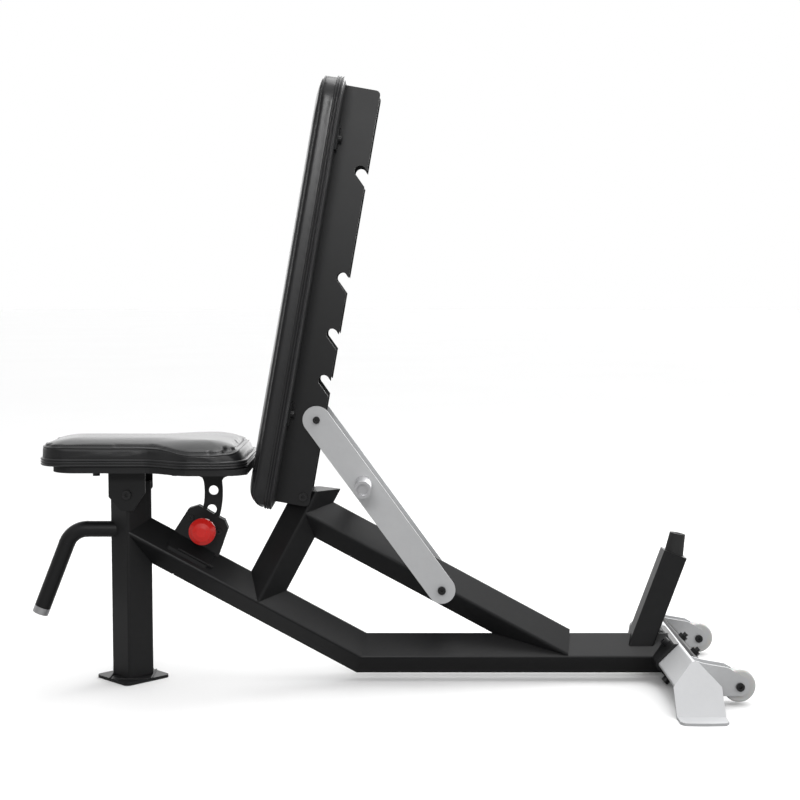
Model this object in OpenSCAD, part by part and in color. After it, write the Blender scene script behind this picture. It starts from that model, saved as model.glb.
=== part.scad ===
// Adjustable weight bench. Millimetres, Z up, X along the bench with the rear wheels at +X,
// Y across it. The floor is Z = 0. The seat is level and the backrest is in its steepest notch.

/* [Frame tubes] */
// Side of the square frame tube
tube_w = 60; // [54:1:66]
// Wall of the square frame tube
tube_wall = 3; // [2:0.5:4]
// Outer corner radius of the square frame tube
tube_round = 5; // [3:0.5:7]
// Height of the floor rail's centre line
rail_z = 49.5; // [48:0.5:60]
// Where the sloped tube meets the floor rail
knee_x = -42; // [-60:1:-20]
// Slope of the two sloped tubes, in degrees
slope_angle = 28.5; // [27:0.5:30]
// Lean of the short riser from the floor, in degrees
riser_angle = 62; // [60:1:66]
// Where the riser's centre line crosses the rail's height
riser_foot_x = -305; // [-312:1:-298]
// Height of the riser with its cap
riser_top_z = 381; // [376:1:386]
// Distance between the centre lines of the two sloped tubes
slope_gap = 201; // [190:1:210]

/* [Front post] */
// Centre of the front post
post_x = -501; // [-510:1:-490]
// Height of the front post
post_top_z = 397; // [385:1:400]
// Side of the square base plate
base_plate_w = 105; // [96:1:130]
// Thickness of the base plate
base_plate_t = 6; // [4:1:10]
// Diameter of the front handle tube
handle_d = 32; // [28:1:36]
// Height of the handle where it leaves the post
handle_z = 300.5; // [290:0.5:310]
// Drop of the handle's lower leg from the bend to its end
handle_drop = 166; // [120:1:180]

/* [Rear foot] */
// Centre of the rear crossbar along the bench
cross_x = 581; // [570:1:600]
// Height of the rear crossbar's centre line
cross_z = 46; // [45:0.5:50]
// Half of the rear stance, from the middle to the fold of a foot
stance = 302; // [260:1:330]
// Lean of the foot plates from upright, in degrees
foot_lean = 40; // [30:1:45]
// Width of each foot plate
foot_w = 89; // [88:1:100]
// Reach of the flat lip on the floor
foot_lip = 42; // [30:1:50]
// Diameter of the transport wheels
wheel_d = 62; // [56:1:66]
// Width of the transport wheels
wheel_w = 28; // [22:1:32]
// Distance of each wheel from the middle of the bench
wheel_y = 195; // [185:1:200]
// Side of the square bumper post
bumper_post_w = 48; // [44:1:52]
// Length of the bumper post above the rail's ridge
bumper_post_h = 173; // [140:1:180]

/* [Seat] */
// Height of the seat pivot
seat_pivot_z = 375; // [370:1:380]
// Front end of the seat
seat_front_x = -664; // [-690:1:-640]
// Width of the seat at its front end
seat_w_front = 210; // [170:1:300]
// Width of the seat at its rear end
seat_w_rear = 300; // [220:1:320]
// Top of the seat cushion
seat_top_z = 484; // [478:1:494]
// Thickness of the seat cushion
seat_cushion_t = 48; // [34:1:54]
// Radius of the adjuster strap's hole line about the seat pivot
strap_r = 165; // [160:1:170]
// Angle between the seat positions, in degrees
seat_step = 13.3; // [10:0.1:13.5]
// Slope of the locked hole's radius below level, in degrees
pin_angle = 25.4; // [24:0.1:27]

/* [Backrest] */
// Backrest pivot along the bench
back_pivot_x = -155; // [-159:1:-151]
// Height of the backrest pivot
back_pivot_z = 371; // [366:1:375]
// Length of the back cushion
back_length = 834; // [825:1:900]
// Width of the back cushion
back_w = 280; // [220:1:320]
// Thickness of the back cushion
back_cushion_t = 30.5; // [25:0.5:34]
// Centre of the support link's lower pivot along the bench
link_pivot_x = 117; // [112:1:122]
// Height of the support link's lower pivot
link_pivot_z = 187; // [182:1:190]
// Length of the support link between its centres
link_length = 416; // [412:1:420]
// Width of the support link's plates
link_w = 54; // [44:1:60]

/* [Fits] */
// Gap beside plates that turn past a fixed tube or another plate
side_gap = 0.9; // [0.5:0.1:1.5]
// Radial clearance of a bolt in its hole
bolt_clear = 0.1; // [0.05:0.05:0.3]
// Gap between the seat's rear end and the back cushion as the seat tilts
pad_gap = 0.8; // [0.5:0.1:3]
// Gap between the catch rod and the blind end of a notch
rod_gap = 0.3; // [0.2:0.1:0.6]

/* [Hidden] */
$fn = 48;
eps = 0.01;
// Fillet gap where one welded tube is fitted to another
weld_gap = 0.1;
// Weld collar where a straight run of the handle joins its bend
collar_h = 0.3;
collar_len = 4;
far_out = 600;

// Diagonal half width of a tube with rounded corners, turned on its edge
tube_half = tube_w / sqrt(2) - tube_round * (sqrt(2) - 1);
slope_len = (knee_x - post_x) / cos(slope_angle);
upper_x = riser_foot_x;
upper_z = rail_z + (knee_x - upper_x) * tan(slope_angle) + slope_gap / cos(slope_angle);
upper_len = 950;
riser_len = 420;
upper_end_x = upper_x + (upper_z - rail_z) / tan(slope_angle) - 5;
upper_cut = 10;
cap_t = 3;

// Bolts: shank, socket head and nut sizes
bolt_r = 5;
pivot_bolt_r = 6;
head_r = 8;
head_h = 7;
socket_r = 4;
socket_depth = 4;
nut_af = 17;
nut_h = 8;
stud_end = 6;
clamp_head_h = 10;
sleeve_r = 13;
back_sleeve_r = 9.5;

// Backrest ladder and its link
back_rest_angle = 80;
notch_angles = [80, 60, 45, 30, 0];
pivot_dx = link_pivot_x - back_pivot_x;
pivot_dz = back_pivot_z - link_pivot_z;
pivot_span = norm([pivot_dx, pivot_dz]);
pivot_fall = atan2(pivot_dz, pivot_dx);
plate_t = 5;
link_t = 6;
ladder_y = tube_half + side_gap;
link_y = ladder_y + plate_t + side_gap;
rod_r = 9;
notch_r = 11;
slot_r = 10.7;
notch_len = 60;
ladder_rear = 14.5;
ladder_front = -54;
ladder_bottom = -18;
ladder_top = 801;
ladder_round = 9;
board_t = 13;
back_front = ladder_front - board_t - back_cushion_t;
back_bottom = -26;
back_round = 30;
stop_low = 700;
stop_high = 788;
stop_t = 8;
stop_recess = 4;
foot_tie_low = 60;
foot_tie_h = 60;
tab_rows = [159, 696];
tab_reach = 34;
tab_h = 44;
tab_t = 4;
grip_at = 260;
grip_r = 16.5;
grip_core_r = 12;
grip_out = 88;

// Angle of the support link at rest, from its lower pivot to the catch rod
rod_at_rest = notch_distance(back_rest_angle);
rod_x = back_pivot_x + rod_at_rest * cos(back_rest_angle);
rod_z = back_pivot_z + rod_at_rest * sin(back_rest_angle);
link_angle = atan2(rod_z - link_pivot_z, rod_x - link_pivot_x);

// Seat: its rear end stays inside a circle that clears the back cushion
seat_pivot_x = post_x;
seat_board_t = 12;
seat_base_z = seat_top_z - seat_cushion_t;
seat_under_z = seat_base_z - seat_board_t;
seat_plate_t = 8;
back_lean = 90 - back_rest_angle;
pivot_off_x = seat_pivot_x - back_pivot_x;
pivot_off_z = seat_pivot_z - back_pivot_z;
seat_u = pivot_off_x * sin(back_lean) + pivot_off_z * cos(back_lean);
seat_v = pivot_off_x * cos(back_lean) - pivot_off_z * sin(back_lean);
corner_u = back_bottom + back_round;
corner_v = back_front + back_round;
seat_swing_r = norm([corner_u - seat_u, corner_v - seat_v]) - back_round - pad_gap;
seat_rear_x = seat_pivot_x + seat_swing_r;
seat_corner = 50;
board_inset = 4;
board_front_in = 18;
seat_rear_round = 52;
seat_plan_rear = seat_rear_x + 1;
flare_from = seat_pivot_x + 46;
flare_to = seat_pivot_x + 136;
flare_steps = 12;
corner_steps = 10;
bracket_front = -80;
bracket_rear = 192;
bracket_half = 35;
ear_half = 36;
ear_drop = 32;
ear_tip = 12;
seat_screw_x = [-64, 92];
seat_screw_y = 22;

// Adjuster strap and its lock pin
strap_half = 18;
strap_t = 6;
strap_end_angle = pin_angle + 5;
strap_top_w = 58;
strap_top_h = 24;
strap_flange_t = 9;
strap_fillet = 9;
strap_hole_r = 9.5;
pin_x = seat_pivot_x + strap_r * cos(pin_angle);
pin_z = seat_pivot_z - strap_r * sin(pin_angle);
pin_r = 8.5;
pin_nose_gap = 0.5;
adjuster_in = strap_t / 2 + 1.5;
adjuster_t = 5;
adjuster_out = adjuster_in + adjuster_t;
plate_foot_w = 25;
plate_foot_up = 50;
plate_foot_run = 92;
plate_foot_round = 7;
barrel_r = 13.5;
barrel_len = 26;
barrel_wall = 3;
barrel_lip = 3;
knob_r = 26.3;
knob_base_y = adjuster_out + barrel_len + 3;
knob_len = 36;
knob_stem_r = 12;
knob_neck = 8;
knob_step = 8;
knob_crown_r = 18;
knob_bore = 14;
pin_travel = 12;
slot_half = strap_t / 2 + 1.5;
slot_side = 3;
guide_in_r = 130.4;
guide_in_angle = 23;
guide_out_r = 192.5;
guide_out_angle = 24.3;
guide_r = 8;
screw_r = 4;
screw_head_r = 6;
screw_head_h = 4;

// Rear foot details
saddle_t = 6;
saddle_half = 82;
carrier_half = 172;
carrier_t = 5;
carrier_low = -18;
carrier_high = 27;
upper_bolt_y = 43.5;
lower_bolt_y = 64;
upper_bolt_shift = 10.6;
lower_bolt_shift = 9.2;
foot_t = 5;
gable_over = 4;
apex_over = 3;
apex_half = 5.5;
lip_relief = 0.6;
lip_corner = 12;
lip_chamfer = 7;
lip_nose = 10;
fork_gap = 1;
fork_t = 4;
axle_x = cross_x + 89;
axle_z = wheel_d / 2 + 6;
axle_r = 5;
fork_end_r = 18;
wheel_bush_r = 9;
wheel_edge = 4;
bumper_lean = 20;
bumper_foot_x = cross_x - 58;
rubber_lean = 10;
rubber_r = 18.5;
rubber_tip_r = 15.5;
rubber_h = 40;
rubber_hole_r = 6;

// Front handle bend
handle_leg_lean = 21.5;
handle_bend_r = 45;
handle_leg = handle_drop / cos(handle_leg_lean);
handle_out = 118;
handle_turn = 90 - handle_leg_lean;
handle_corner_x = post_x - handle_out;
handle_tangent = handle_bend_r * tan(handle_turn / 2);
handle_wall = 2.5;
end_cap_len = 12;
end_cap_show = 14;
end_cap_at = handle_leg + 4 - end_cap_show;

// Distance from the backrest pivot to the catch rod when the back stands at this angle
function notch_distance(angle) =
    pivot_span * cos(angle + pivot_fall)
    + sqrt(pow(link_length, 2) - pow(pivot_span * sin(angle + pivot_fall), 2));

// ---------------------------------------------------------------- shared shapes

// A square with rounded corners, centred
module round_square(w, r) {
    square([w - 2 * r, w], center = true);
    square([w, w - 2 * r], center = true);
    for (i = [-1, 1]) {
        for (j = [-1, 1]) {
            translate([i * (w / 2 - r), j * (w / 2 - r)]) circle(r);
        }
    }
}

// Solid bar along +X with the frame tube's section turned on its edge
module edge_bar(len, grow = 0) {
    rotate([90, 0, 90])
        linear_extrude(height = len)
            rotate(45)
                round_square(tube_w + 2 * grow, tube_round + grow);
}

// Frame tube along +X, turned on its edge
module edge_tube(len) {
    difference() {
        edge_bar(len);
        translate([-1, 0, 0]) edge_bar(len + 2, -tube_wall);
    }
}

// A side view profile made into a plate from y0 to y0 + t
module side_plate(y0, t) {
    translate([0, y0 + t, 0])
        rotate([90, 0, 0])
            linear_extrude(height = t)
                children();
}

// Round bar across the bench from y0 to y1
module bar_y(x, z, y0, y1, r) {
    translate([x, y1, z])
        rotate([90, 0, 0])
            cylinder(r = r, h = y1 - y0);
}

// Socket head screw across the bench, with its head at the near end
module cross_bolt(x, z, y0, y1, r, hr, hh, sr) {
    difference() {
        union() {
            bar_y(x, z, y0, y1, r);
            bar_y(x, z, y0 - hh, y0 + eps, hr);
        }
        translate([x, y0 - hh + socket_depth, z])
            rotate([90, 0, 0])
                cylinder(r = sr, h = socket_depth + 1, $fn = 6);
    }
}

// Hexagon nut along Y from y0 to y1
module hex_nut(x, z, y0, y1, af) {
    translate([x, y1, z])
        rotate([90, 0, 0])
            cylinder(r = af / sqrt(3), h = y1 - y0, $fn = 6);
}

// Places children in the backrest's own frame: X to the rear, Z up the back
module on_back() {
    translate([back_pivot_x, 0, back_pivot_z])
        rotate([0, back_lean, 0])
            children();
}

// Places children in the support link's own frame: X from the lower pivot to the rod
module on_link() {
    translate([link_pivot_x, 0, link_pivot_z])
        rotate([0, -link_angle, 0])
            children();
}

// Places children in the lower sloped tube's frame: X down the slope to the knee
module on_slope() {
    translate([knee_x, 0, rail_z])
        rotate([0, slope_angle, 0])
            children();
}

// Distance of a point from the knee, measured along the slope
function slope_at(x, z) = (x - knee_x) * cos(slope_angle) - (z - rail_z) * sin(slope_angle);

// Solid outlines that other tubes are fitted to
module post_bar(grow = weld_gap) {
    translate([post_x, 0, 0]) rotate([0, -90, 0]) edge_bar(post_top_z + 40, grow);
}

module slope_bar(grow = weld_gap) {
    translate([knee_x, 0, rail_z])
        rotate([0, slope_angle, 0])
            translate([-slope_len, 0, 0])
                edge_bar(slope_len, grow);
}

module rail_bar(grow = weld_gap) {
    translate([knee_x - 60, 0, rail_z]) edge_bar(cross_x - knee_x + 60, grow);
}

module riser_bar(grow = weld_gap) {
    translate([riser_foot_x, 0, rail_z]) rotate([0, -riser_angle, 0]) edge_bar(riser_len, grow);
}

module cross_bar(grow = 0) {
    translate([cross_x, -stance - 40, cross_z])
        rotate([0, 0, 90])
            edge_bar(2 * stance + 80, grow);
}

// Everything on the far side of the mitre at the knee
module past_knee(sign) {
    translate([knee_x, 0, rail_z])
        rotate([0, slope_angle / 2, 0])
            translate([sign > 0 ? 0 : -far_out, -100, -100])
                cube([far_out, 200, 200]);
}

// Everything below the lower sloped tube's centre line
module under_slope() {
    translate([knee_x, 0, rail_z])
        rotate([0, slope_angle, 0])
            translate([-far_out, -100, -far_out])
                cube([2 * far_out, 200, far_out]);
}

// Everything in front of the riser's centre line
module before_riser() {
    translate([riser_foot_x, 0, rail_z])
        rotate([0, -riser_angle, 0])
            translate([-100, -100, 0])
                cube([far_out, 200, far_out]);
}

// ---------------------------------------------------------------- frame

module front_base_plate() {
    color("#1b1c1e")
    translate([post_x, 0, 0])
        linear_extrude(height = base_plate_t)
            rotate(45)
                round_square(base_plate_w, 10);
}

module front_post() {
    color("#1b1c1e")
    difference() {
        translate([post_x, 0, base_plate_t])
            rotate([0, -90, 0])
                edge_tube(post_top_z - base_plate_t);
        bar_y(seat_pivot_x, seat_pivot_z, -60, 60, sleeve_r);
    }
}

module seat_pivot_sleeve() {
    color("#1b1c1e")
    difference() {
        bar_y(seat_pivot_x, seat_pivot_z, -tube_half, tube_half, sleeve_r);
        bar_y(seat_pivot_x, seat_pivot_z, -60, 60, pivot_bolt_r + bolt_clear);
    }
}

// Handle: out from the post, round a bend and down; a thin weld collar covers each joint
module handle_path(r, leg) {
    translate([handle_corner_x + handle_tangent, 0, handle_z])
        rotate([0, 90, 0]) {
            cylinder(r = r, h = handle_out - handle_tangent);
            translate([0, 0, -collar_len / 2]) cylinder(r = r + collar_h, h = collar_len);
        }
    translate([handle_corner_x + handle_tangent, 0, handle_z - handle_bend_r])
        rotate([-90, 0, 0])
            rotate([0, 0, -90 - handle_turn])
                rotate_extrude(angle = handle_turn)
                    translate([handle_bend_r, 0])
                        circle(r);
    translate([handle_corner_x, 0, handle_z])
        rotate([0, 180 + handle_leg_lean, 0])
            translate([0, 0, handle_tangent]) {
                cylinder(r = r, h = leg - handle_tangent);
                translate([0, 0, -collar_len / 2]) cylinder(r = r + collar_h, h = collar_len);
            }
}

module front_handle() {
    color("#1b1c1e")
    difference() {
        handle_path(handle_d / 2, end_cap_at);
        handle_path(handle_d / 2 - handle_wall, handle_leg + 1);
        post_bar();
    }
}

module handle_end_cap() {
    color("#c9ccce")
    translate([handle_corner_x, 0, handle_z])
        rotate([0, 180 + handle_leg_lean, 0])
            translate([0, 0, end_cap_at]) {
                cylinder(r = handle_d / 2, h = end_cap_show);
                translate([0, 0, -end_cap_len])
                    cylinder(r = handle_d / 2 - handle_wall, h = end_cap_len + eps);
            }
}

// Room for the adjuster strap as it swings down into the sloped tube
module strap_slot() {
    side_plate(-slot_half, 2 * slot_half)
        translate([seat_pivot_x, seat_pivot_z])
            intersection() {
                difference() {
                    circle(strap_r + strap_half + slot_side, $fn = 96);
                    circle(strap_r - strap_half - slot_side, $fn = 96);
                }
                rotate(-pin_angle - 2 * seat_step - 12)
                    square([far_out, far_out / 2]);
            }
}

module lower_slope_tube() {
    color("#1b1c1e")
    difference() {
        translate([knee_x, 0, rail_z])
            rotate([0, slope_angle, 0])
                translate([-slope_len, 0, 0])
                    edge_tube(slope_len + 60);
        post_bar();
        past_knee(1);
        strap_slot();
    }
}

module base_rail() {
    color("#1b1c1e")
    difference() {
        translate([knee_x - 60, 0, rail_z]) edge_tube(cross_x - knee_x + 60);
        past_knee(-1);
        cross_bar(saddle_t);
    }
}

module riser_tube() {
    color("#1b1c1e")
    difference() {
        translate([riser_foot_x, 0, rail_z]) rotate([0, -riser_angle, 0]) edge_tube(riser_len);
        slope_bar();
        under_slope();
        translate([-far_out, -100, riser_top_z - cap_t]) cube([2 * far_out, 200, 200]);
        bar_y(back_pivot_x, back_pivot_z, -60, 60, back_sleeve_r);
    }
}

module riser_cap() {
    color("#1b1c1e")
    difference() {
        intersection() {
            riser_bar(0);
            translate([-far_out, -100, riser_top_z - cap_t]) cube([2 * far_out, 200, cap_t]);
        }
        bar_y(back_pivot_x, back_pivot_z, -60, 60, back_sleeve_r);
    }
}

module upper_slope_tube() {
    color("#1b1c1e")
    difference() {
        translate([upper_x, 0, upper_z])
            rotate([0, slope_angle, 0])
                edge_tube(upper_len);
        riser_bar();
        before_riser();
        rail_bar();
        translate([upper_end_x, -100, rail_z + tube_half])
            rotate([0, upper_cut, 0])
                translate([0, 0, -200])
                    cube([far_out, 200, 400]);
        bar_y(link_pivot_x, link_pivot_z, -60, 60, sleeve_r);
    }
}

module back_pivot_sleeve() {
    color("#1b1c1e")
    difference() {
        bar_y(back_pivot_x, back_pivot_z, -tube_half, tube_half, back_sleeve_r);
        bar_y(back_pivot_x, back_pivot_z, -60, 60, pivot_bolt_r + bolt_clear);
    }
}

module link_pivot_sleeve() {
    color("#1b1c1e")
    difference() {
        bar_y(link_pivot_x, link_pivot_z, -link_y + side_gap, link_y - side_gap, sleeve_r);
        bar_y(link_pivot_x, link_pivot_z, -60, 60, pivot_bolt_r + bolt_clear);
    }
}

// Upright part of an adjuster plate, seen from the side
module adjuster_outline() {
    polygon([
        [pin_x - 62, pin_z - 6],
        [pin_x - 33, pin_z + 39],
        [pin_x - 13, pin_z + 45],
        [pin_x - 5, pin_z + 41],
        [pin_x + 28, pin_z + 21],
        [pin_x + 38, pin_z + 16],
        [pin_x + 45, pin_z - 1],
        [pin_x + 24, pin_z - 60]
    ]);
}

// Upright plate with a foot that lies on the tube's sloping face, near side
module adjuster_plate() {
    difference() {
        union() {
            side_plate(-adjuster_out, adjuster_t) adjuster_outline();
            plate_foot();
        }
        slope_bar();
        bar_y(pin_x, pin_z, -80, 0, pin_r + bolt_clear);
        guide_holes(screw_r + bolt_clear);
    }
}

// Foot of an adjuster plate: a layer over the sloped tube with two rounded outer corners
module plate_foot() {
    outer = -adjuster_out - plate_foot_w;
    inner = -adjuster_in;
    r = plate_foot_round;
    on_slope()
        translate([slope_at(pin_x, pin_z) - plate_foot_up, 0, 0])
            intersection() {
                edge_bar(plate_foot_run, adjuster_t);
                linear_extrude(height = 2 * tube_half)
                    union() {
                        translate([0, outer + r]) square([plate_foot_run, inner - outer - r]);
                        translate([r, outer]) square([plate_foot_run - 2 * r, inner - outer]);
                        for (x = [r, plate_foot_run - r]) {
                            translate([x, outer + r]) circle(r);
                        }
                    }
            }
}

module guide_holes(r) {
    bar_y(seat_pivot_x + guide_in_r * cos(guide_in_angle),
        seat_pivot_z - guide_in_r * sin(guide_in_angle), -80, 80, r);
    bar_y(seat_pivot_x + guide_out_r * cos(guide_out_angle),
        seat_pivot_z - guide_out_r * sin(guide_out_angle), -80, 80, r);
}

module adjuster_plate_near() {
    color("#1b1c1e") adjuster_plate();
}

module adjuster_plate_far() {
    color("#1b1c1e") mirror([0, 1, 0]) adjuster_plate();
}

// One guide screw with its spacer between the plates and a nut behind
module guide_screw(r, angle) {
    x = seat_pivot_x + r * cos(angle);
    z = seat_pivot_z - r * sin(angle);
    cross_bolt(x, z, -adjuster_out, adjuster_out, screw_r, screw_head_r, screw_head_h, 2.5);
    bar_y(x, z, -adjuster_in, adjuster_in, guide_r - 1);
    hex_nut(x, z, adjuster_out, adjuster_out + 6, 13);
}

module adjuster_screws() {
    color("#141516") {
        guide_screw(guide_in_r, guide_in_angle);
        guide_screw(guide_out_r, guide_out_angle);
    }
}

module pin_barrel() {
    color("#2a2b2d")
    difference() {
        bar_y(pin_x, pin_z, -adjuster_out - barrel_len, -adjuster_out, barrel_r);
        bar_y(pin_x, pin_z, -adjuster_out - barrel_len + barrel_lip, 0, barrel_r - barrel_wall);
        bar_y(pin_x, pin_z, -80, 0, pin_r - 1 + bolt_clear);
    }
}

// Closed coil in the barrel, drawn as a sleeve
module pin_spring() {
    color("#8d9093")
    difference() {
        bar_y(pin_x, pin_z, -adjuster_out - barrel_len + barrel_lip + 0.3,
            -adjuster_out - 6.3, barrel_r - barrel_wall - 0.4);
        bar_y(pin_x, pin_z, -80, 0, pin_r - 1 + 0.8);
    }
}

module bumper_post() {
    color("#1b1c1e")
    difference() {
        translate([bumper_foot_x, 0, rail_z + tube_half])
            rotate([0, bumper_lean, 0])
                translate([0, 0, -60])
                    linear_extrude(height = bumper_post_h + 60 - cap_t)
                        difference() {
                            round_square(bumper_post_w, 4);
                            round_square(bumper_post_w - 2 * tube_wall, 1.5);
                        }
        rail_bar();
        translate([bumper_foot_x - 100, -100, 0]) cube([200, 200, rail_z + 8]);
        cross_bar(saddle_t);
    }
}

module bumper_post_cap() {
    color("#1b1c1e")
    difference() {
        translate([bumper_foot_x, 0, rail_z + tube_half])
            rotate([0, bumper_lean, 0])
                translate([0, 0, bumper_post_h - cap_t])
                    linear_extrude(height = cap_t)
                        round_square(bumper_post_w, 4);
        bumper_at() translate([0, 0, -20]) cylinder(r = rubber_hole_r, h = 60);
    }
}

// Places children at the middle of the bumper post's head, along the rubber's axis
module bumper_at() {
    translate([bumper_foot_x + bumper_post_h * sin(bumper_lean), 0,
            rail_z + tube_half + bumper_post_h * cos(bumper_lean)])
        rotate([0, rubber_lean, 0])
            children();
}

module rubber_bumper() {
    color("#131313")
    difference() {
        bumper_at()
            difference() {
                translate([0, 0, -8]) cylinder(r1 = rubber_r + 1, r2 = rubber_tip_r, h = rubber_h + 8);
                translate([0, 0, rubber_h - 10]) cylinder(r = rubber_hole_r, h = 20);
            }
        translate([bumper_foot_x, 0, rail_z + tube_half])
            rotate([0, bumper_lean, 0])
                translate([-60, -60, 0])
                    cube([120, 120, bumper_post_h]);
    }
}

// ---------------------------------------------------------------- rear foot

// Everything outside the slanted plane of the near foot plate
module past_foot(thick) {
    translate([cross_x, -stance, foot_t])
        rotate([-foot_lean, 0, 0])
            translate([-200, -far_out, -200])
                cube([400, far_out + thick, 500]);
}

module rear_crossbar() {
    color("#c4c7c9")
    difference() {
        translate([cross_x, -stance - 40, cross_z])
            rotate([0, 0, 90])
                edge_tube(2 * stance + 80);
        past_foot(foot_t);
        mirror([0, 1, 0]) past_foot(foot_t);
        clamp_holes(bolt_r + bolt_clear);
    }
}

// Folded foot: a gabled plate over the crossbar's end and a lip flat on the floor
module foot() {
    gable_s = (cross_z + gable_over - foot_t) / cos(foot_lean);
    top_s = (cross_z + tube_half + apex_over - foot_t) / cos(foot_lean);
    half = foot_w / 2;
    lip_half = half - lip_relief;
    lip_in = -stance + foot_t + 2;
    lip_out = -stance - foot_lip;
    translate([cross_x, -stance, foot_t])
        rotate([-foot_lean, 0, 0])
            translate([0, foot_t, 0])
                rotate([90, 0, 0])
                    linear_extrude(height = foot_t)
                        polygon([
                            [-half, -foot_t + 1],
                            [half, -foot_t + 1],
                            [half, gable_s],
                            [apex_half, top_s],
                            [-apex_half, top_s],
                            [-half, gable_s]
                        ]);
    translate([cross_x, 0, 0])
        linear_extrude(height = foot_t)
            polygon([
                [-lip_half, lip_in],
                [-lip_half, lip_out + lip_corner],
                [-lip_half + lip_chamfer, lip_out + 2],
                [-lip_nose, lip_out],
                [lip_nose, lip_out],
                [lip_half - lip_chamfer, lip_out + 2],
                [lip_half, lip_out + lip_corner],
                [lip_half, lip_in]
            ]);
}

module foot_near() {
    color("#d5d7d9")
    difference() {
        foot();
        translate([-1000, -1000, -50]) cube([2000, 2000, 50]);
    }
}

module foot_far() {
    color("#d5d7d9")
    mirror([0, 1, 0])
        difference() {
            foot();
            translate([-1000, -1000, -50]) cube([2000, 2000, 50]);
        }
}

// Angled plate that clamps the rail's end to the crossbar's two front faces
module crossbar_saddle() {
    color("#1b1c1e")
    difference() {
        intersection() {
            cross_bar(saddle_t);
            translate([cross_x - 200, -saddle_half, cross_z - 100])
                cube([200, 2 * saddle_half, 200]);
        }
        cross_bar();
        translate([-far_out, -100, cross_z + tube_half]) cube([2 * far_out, 200, 50]);
        translate([-far_out, -100, -50]) cube([2 * far_out, 200, 50 + cross_z - tube_half]);
        clamp_holes(bolt_r + bolt_clear);
    }
}

// Places children on a clamp bolt's axis: Z runs rearward through the crossbar
module clamp_axis(turn, shift, y) {
    translate([cross_x, y, cross_z])
        rotate([0, turn, 0])
            translate([shift, 0, 0])
                children();
}

module clamp_holes(r) {
    for (side = [-1, 1]) {
        clamp_axis(135, -upper_bolt_shift, side * upper_bolt_y)
            translate([0, 0, -80]) cylinder(r = r, h = 160);
        clamp_axis(45, lower_bolt_shift, side * lower_bolt_y)
            translate([0, 0, -80]) cylinder(r = r, h = 160);
    }
}

// Black flat bar on the crossbar's upper rear face, between the wheel forks
module wheel_carrier_plate() {
    color("#1b1c1e")
    difference() {
        translate([cross_x, 0, cross_z])
            rotate([0, 45, 0])
                translate([carrier_low, -carrier_half, tube_w / 2])
                    cube([carrier_high - carrier_low, 2 * carrier_half, carrier_t]);
        clamp_holes(bolt_r + bolt_clear);
    }
}

module clamp_bolt(head_at, nut_at) {
    difference() {
        union() {
            translate([0, 0, -head_at]) cylinder(r = bolt_r, h = head_at + nut_at + nut_h + stud_end);
            translate([0, 0, -head_at - clamp_head_h]) cylinder(r = head_r, h = clamp_head_h);
        }
        translate([0, 0, -head_at - clamp_head_h - 1])
            cylinder(r = socket_r, h = socket_depth + 1, $fn = 6);
    }
    translate([0, 0, nut_at]) cylinder(r = nut_af / sqrt(3), h = nut_h, $fn = 6);
}

module crossbar_bolts() {
    color("#141516")
    for (side = [-1, 1]) {
        clamp_axis(135, -upper_bolt_shift, side * upper_bolt_y)
            clamp_bolt(tube_w / 2 + saddle_t, tube_w / 2);
        clamp_axis(45, lower_bolt_shift, side * lower_bolt_y)
            clamp_bolt(tube_w / 2 + saddle_t, tube_w / 2 + carrier_t);
    }
}

// One fork: two plates from the crossbar to the wheel axle
module wheel_fork() {
    color("#c4c7c9")
    difference() {
        for (side = [-1, 1]) {
            side_plate(-wheel_y + side * (wheel_w / 2 + fork_gap) - (side < 0 ? fork_t : 0), fork_t)
                union() {
                    polygon([
                        [cross_x + 4, cross_z + 40],
                        [cross_x + 21, cross_z + 35],
                        [axle_x - 23, axle_z + 36],
                        [axle_x + 8, axle_z + 18],
                        [axle_x + 12.7, axle_z + 12.7],
                        [axle_x, axle_z - fork_end_r],
                        [cross_x + 24, axle_z - fork_end_r]
                    ]);
                    translate([axle_x, axle_z]) circle(fork_end_r);
                }
        }
        cross_bar();
        bar_y(axle_x, axle_z, -wheel_y - 60, -wheel_y + 60, axle_r + bolt_clear);
    }
}

module wheel_fork_near() {
    wheel_fork();
}

module wheel_fork_far() {
    mirror([0, 1, 0]) wheel_fork();
}

// Wheel axle: socket head on the near plate and a nut on the other
module axle_bolt(middle) {
    reach = wheel_w / 2 + fork_gap + fork_t;
    cross_bolt(axle_x, axle_z, middle - reach, middle + reach + 7, axle_r, head_r, 5, socket_r);
    hex_nut(axle_x, axle_z, middle + reach, middle + reach + 5, nut_af);
}

module axle_bolt_near() {
    color("#141516") axle_bolt(-wheel_y);
}

module axle_bolt_far() {
    color("#141516") axle_bolt(wheel_y);
}

// Wheel with rounded edges, bored for its bush
module wheel(middle) {
    color("#dfe0da")
    translate([axle_x, middle, axle_z])
        rotate([90, 0, 0])
            rotate_extrude($fn = 72)
                translate([wheel_bush_r, -wheel_w / 2])
                    union() {
                        square([wheel_d / 2 - wheel_bush_r - wheel_edge, wheel_w]);
                        translate([0, wheel_edge])
                            square([wheel_d / 2 - wheel_bush_r, wheel_w - 2 * wheel_edge]);
                        translate([wheel_d / 2 - wheel_bush_r - wheel_edge, wheel_edge])
                            circle(wheel_edge);
                        translate([wheel_d / 2 - wheel_bush_r - wheel_edge, wheel_w - wheel_edge])
                            circle(wheel_edge);
                    }
}

module wheel_bush(middle) {
    color("#8d9093")
    difference() {
        bar_y(axle_x, axle_z, middle - wheel_w / 2 - 0.5, middle + wheel_w / 2 + 0.5, wheel_bush_r);
        bar_y(axle_x, axle_z, middle - 40, middle + 40, axle_r + bolt_clear);
    }
}

module wheel_near() {
    wheel(-wheel_y);
}

module wheel_far() {
    wheel(wheel_y);
}

module wheel_bush_near() {
    wheel_bush(-wheel_y);
}

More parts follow.
